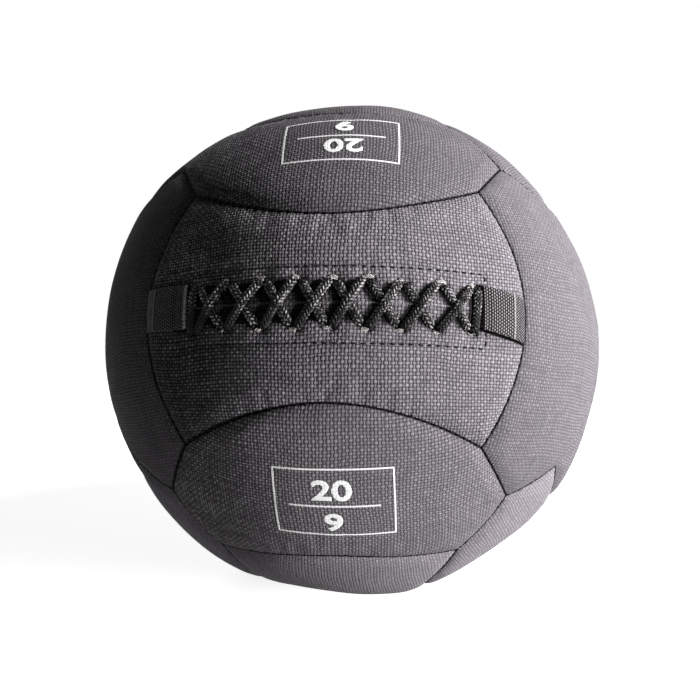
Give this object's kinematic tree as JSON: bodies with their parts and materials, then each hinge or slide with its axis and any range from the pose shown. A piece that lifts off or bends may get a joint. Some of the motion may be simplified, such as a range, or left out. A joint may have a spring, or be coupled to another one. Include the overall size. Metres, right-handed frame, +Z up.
{
  "type": "wall ball",
  "caption": "Soft round wall ball with sewn fabric panels, a laced closure on its front and a small flat patch that it rests on.",
  "frame": {"origin": "centre of the flat rest patch, on the surface that the ball stands on", "axes": "+Z up out of the rest patch, +X to the right along the lacing, -Y towards the side with the laced closure"},
  "size_m": [0.35, 0.35, 0.3473],
  "materials": {
    "cover_fabric": "charcoal coated fabric with a woven texture, semi-matte",
    "webbing": "black woven webbing",
    "lace_cord": "black braided cord, slight sheen",
    "backing_cloth": "plain dark backing cloth",
    "foam_liner": "soft foam sheet",
    "canvas": "unbleached canvas",
    "fibre_stuffing": "packed textile fibre",
    "sand_weight": "dry sand",
    "tie_cord": "twisted tie cord"
  },
  "bodies": {
    "root": {"cover_front_middle": "cover_fabric", "cover_front_upper": "cover_fabric", "cover_front_lower": "cover_fabric", "cover_back_middle": "cover_fabric", "cover_back_upper": "cover_fabric", "cover_back_lower": "cover_fabric", "cover_right_middle": "cover_fabric", "cover_right_fore": "cover_fabric", "cover_right_rear": "cover_fabric", "cover_left_middle": "cover_fabric", "cover_left_fore": "cover_fabric", "cover_left_rear": "cover_fabric", "cover_top_middle": "cover_fabric", "cover_top_left": "cover_fabric", "cover_top_right": "cover_fabric", "cover_bottom_middle": "cover_fabric", "cover_bottom_left": "cover_fabric", "cover_bottom_right": "cover_fabric", "webbing_tab_left": "webbing", "webbing_tab_right": "webbing", "lace": "lace_cord", "lace_knot": "lace_cord", "closure_facing_upper": "backing_cloth", "closure_facing_lower": "backing_cloth", "tongue_flap": "backing_cloth", "foam_liner_front": "foam_liner", "foam_liner_back": "foam_liner", "inner_bag_front": "canvas", "inner_bag_back": "canvas", "stuffing_left": "fibre_stuffing", "stuffing_right": "fibre_stuffing", "core_sack": "canvas", "core_sand": "sand_weight", "sack_tie": "tie_cord"}
  },
  "joints": []
}
